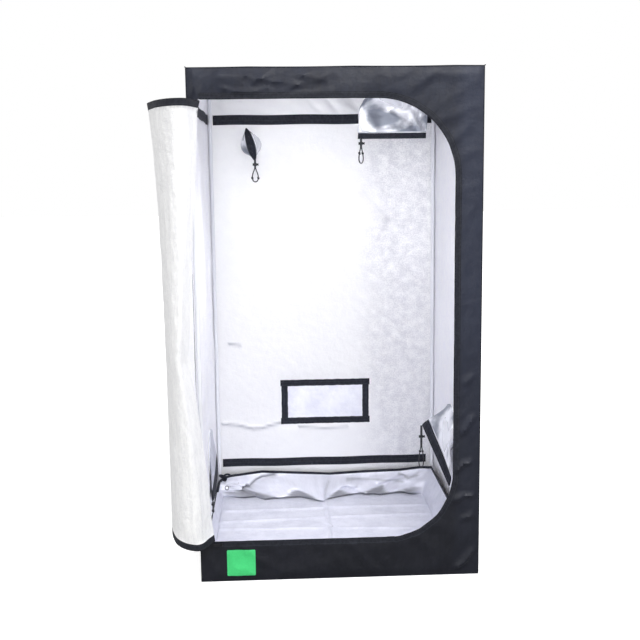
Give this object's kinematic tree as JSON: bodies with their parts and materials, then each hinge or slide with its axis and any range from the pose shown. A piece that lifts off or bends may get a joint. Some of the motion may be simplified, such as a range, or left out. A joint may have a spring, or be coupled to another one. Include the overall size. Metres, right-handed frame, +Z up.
{
  "type": "indoor grow tent",
  "caption": "Box-shaped indoor grow tent: steel tube frame, silver-lined black skin, zipped door wrapped round the left side, cloth duct sleeves, vent window and floor tray.",
  "frame": {"origin": "middle of the underside of the floor panel", "axes": "+Z up along the posts, +X to the right seen from the front, +Y from the front into the tent"},
  "size_m": [1.1337, 1.1194, 1.8],
  "materials": {
    "white_steel": "white powder coat",
    "corner_plastic": "moulded, light grey",
    "black_cloth": "coated oxford weave, black",
    "silver_cloth": "silver reflective lining on black cloth",
    "black_tape": "woven tape, black",
    "patch_green": "plain green woven patch",
    "vent_mesh": "fine pale mesh",
    "cord_black": "braided cord, black",
    "lock_plastic": "moulded, black",
    "slider_metal": "black enamel"
  },
  "bodies": {
    "tent": {"post_front_left": "white_steel", "post_front_right": "white_steel", "post_back_left": "white_steel", "post_back_right": "white_steel", "bottom_rail_front": "white_steel", "bottom_rail_back": "white_steel", "bottom_rail_left": "white_steel", "bottom_rail_right": "white_steel", "top_rail_front": "white_steel", "top_rail_back": "white_steel", "top_rail_left": "white_steel", "top_rail_right": "white_steel", "corner_bottom_front_left": "corner_plastic", "corner_bottom_front_right": "corner_plastic", "corner_bottom_back_left": "corner_plastic", "corner_bottom_back_right": "corner_plastic", "corner_top_front_left": "corner_plastic", "corner_top_front_right": "corner_plastic", "corner_top_back_left": "corner_plastic", "corner_top_back_right": "corner_plastic", "roof_panel": "black_cloth", "floor_panel": "black_cloth", "back_wall": "silver_cloth", "left_wall": "silver_cloth", "right_wall": "silver_cloth", "front_panel": "black_cloth", "front_zip_tape": "black_tape", "sewn_patch": "patch_green", "vent_mesh": "vent_mesh", "vent_binding": "black_tape", "duct_sleeve_roof": "silver_cloth", "duct_sleeve_back": "silver_cloth", "duct_sleeve_right": "silver_cloth", "duct_sleeve_left": "silver_cloth", "drawcord_roof": "cord_black", "drawcord_back": "cord_black", "drawcord_right": "cord_black", "drawcord_left": "cord_black", "floor_tray": "silver_cloth"},
    "door_1": {"door_panel_1": "silver_cloth"},
    "door_2": {"door_panel_2": "silver_cloth"},
    "door_3": {"door_panel_3": "silver_cloth"},
    "door_4": {"door_panel_4": "silver_cloth"},
    "flap": {"vent_flap": "black_cloth"},
    "bar_front": {"hanging_bar_front": "white_steel"},
    "bar_back": {"hanging_bar_back": "white_steel"},
    "slider": {"zip_slider": "slider_metal"},
    "pull": {"zip_pull": "slider_metal"},
    "lock_roof": {"cord_lock_roof": "lock_plastic"},
    "lock_back": {"cord_lock_back": "lock_plastic"},
    "lock_right": {"cord_lock_right": "lock_plastic"},
    "lock_left": {"cord_lock_left": "lock_plastic"},
    "button_roof": {"lock_button_roof": "lock_plastic"},
    "button_back": {"lock_button_back": "lock_plastic"},
    "button_right": {"lock_button_right": "lock_plastic"},
    "button_left": {"lock_button_left": "lock_plastic"}
  },
  "joints": [
    {"name": "door_fold_1", "type": "hinge", "parent": "tent", "child": "door_1", "pos_m": [-0.45, -0.5003, 0.9225], "axis": [0, 0, 1], "range_deg": [0, 124]},
    {"name": "door_fold_2", "type": "hinge", "parent": "door_1", "child": "door_2", "pos_m": [-0.52814, -0.61614, 0.9225], "axis": [0, 0, 1], "range_deg": [0, 117]},
    {"name": "door_fold_3", "type": "hinge", "parent": "door_2", "child": "door_3", "pos_m": [-0.61075, -0.4671, 0.9225], "axis": [0, 0, 1], "range_deg": [0, 24]},
    {"name": "door_fold_4", "type": "hinge", "parent": "door_3", "child": "door_4", "pos_m": [-0.63169, -0.22776, 0.9225], "axis": [0, 0, 1], "range_deg": [0, 11]},
    {"name": "vent_flap_lift", "type": "hinge", "parent": "tent", "child": "flap", "pos_m": [0, 0.5023, 0.53], "axis": [1, 0, 0], "range_deg": [0, 170]},
    {"name": "hanging_bar_front_slide", "type": "slide", "parent": "tent", "child": "bar_front", "axis": [0, 1, 0], "range_m": [-0.17, 0.1]},
    {"name": "hanging_bar_back_slide", "type": "slide", "parent": "tent", "child": "bar_back", "axis": [0, 1, 0], "range_m": [-0.1, 0.08]},
    {"name": "zip_slide", "type": "slide", "parent": "tent", "child": "slider", "axis": [1, 0, 0], "range_m": [0, 0.585]},
    {"name": "zip_pull_swing", "type": "hinge", "parent": "slider", "child": "pull", "pos_m": [-0.428, -0.5063, 0.139], "axis": [0, 0, 1], "range_deg": [0, 175]},
    {"name": "lock_roof_slide", "type": "slide", "parent": "tent", "child": "lock_roof", "axis": [0, 0, 1], "range_m": [-0.012, 0.01]},
    {"name": "lock_back_slide", "type": "slide", "parent": "tent", "child": "lock_back", "axis": [0, 0, 1], "range_m": [-0.012, 0.01]},
    {"name": "lock_right_slide", "type": "slide", "parent": "tent", "child": "lock_right", "axis": [0, 0, 1], "range_m": [-0.04, 0.03]},
    {"name": "lock_left_slide", "type": "slide", "parent": "tent", "child": "lock_left", "axis": [0, 0, 1], "range_m": [-0.002, 0.002]},
    {"name": "button_roof_press", "type": "slide", "parent": "lock_roof", "child": "button_roof", "axis": [-1, 0, 0], "range_m": [0, 0.003], "stiffness_N_per_m": 200},
    {"name": "button_back_press", "type": "slide", "parent": "lock_back", "child": "button_back", "axis": [-1, 0, 0], "range_m": [0, 0.003], "stiffness_N_per_m": 200},
    {"name": "button_right_press", "type": "slide", "parent": "lock_right", "child": "button_right", "axis": [-1, 0, 0], "range_m": [0, 0.003], "stiffness_N_per_m": 200},
    {"name": "button_left_press", "type": "slide", "parent": "lock_left", "child": "button_left", "axis": [0, -1, 0], "range_m": [0, 0.003], "stiffness_N_per_m": 200}
  ],
  "couplings": [
    {"joint": "door_fold_2", "follows": "door_fold_1", "ratio": 0.94355},
    {"joint": "door_fold_3", "follows": "door_fold_1", "ratio": 0.19355},
    {"joint": "door_fold_4", "follows": "door_fold_1", "ratio": 0.08871}
  ]
}
